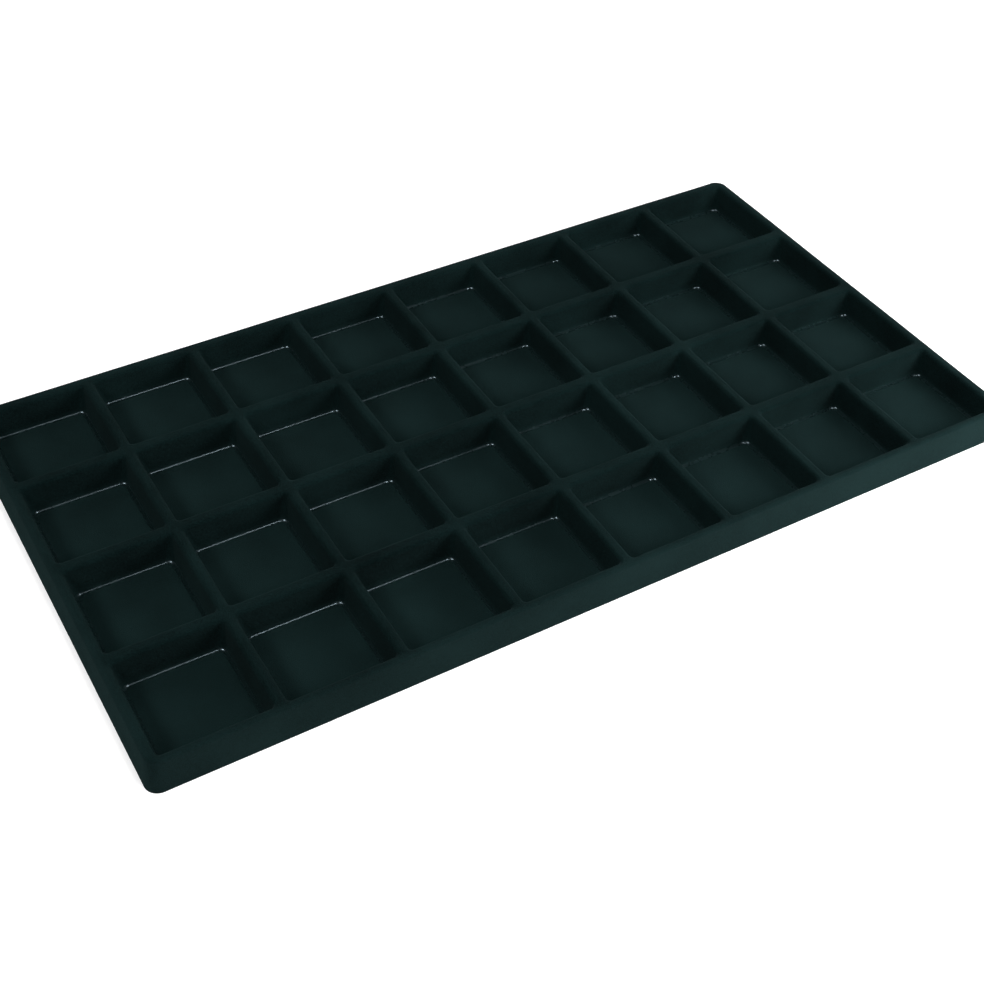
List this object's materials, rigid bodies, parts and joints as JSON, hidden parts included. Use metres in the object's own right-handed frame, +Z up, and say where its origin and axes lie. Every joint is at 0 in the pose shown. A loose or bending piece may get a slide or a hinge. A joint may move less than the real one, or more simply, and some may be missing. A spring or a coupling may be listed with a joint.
{
  "type": "jewelry tray insert",
  "caption": "Shallow rectangular tray insert, thermoformed and flocked, with a grid of open square pockets for small jewelry.",
  "frame": {"origin": "middle of the tray on the plane that it rests on", "axes": "+X along the length, +Y to the back, +Z up out of the pockets"},
  "size_m": [0.3588, 0.1938, 0.0127],
  "materials": {
    "styrene_sheet": "thermoformed matt polystyrene sheet, nearly black",
    "flock_pile": "electrostatic flock, short upright nylon pile in a very dark green"
  },
  "bodies": {
    "root": {"formed_sheet": "styrene_sheet", "flock_coat": "flock_pile"}
  },
  "joints": []
}
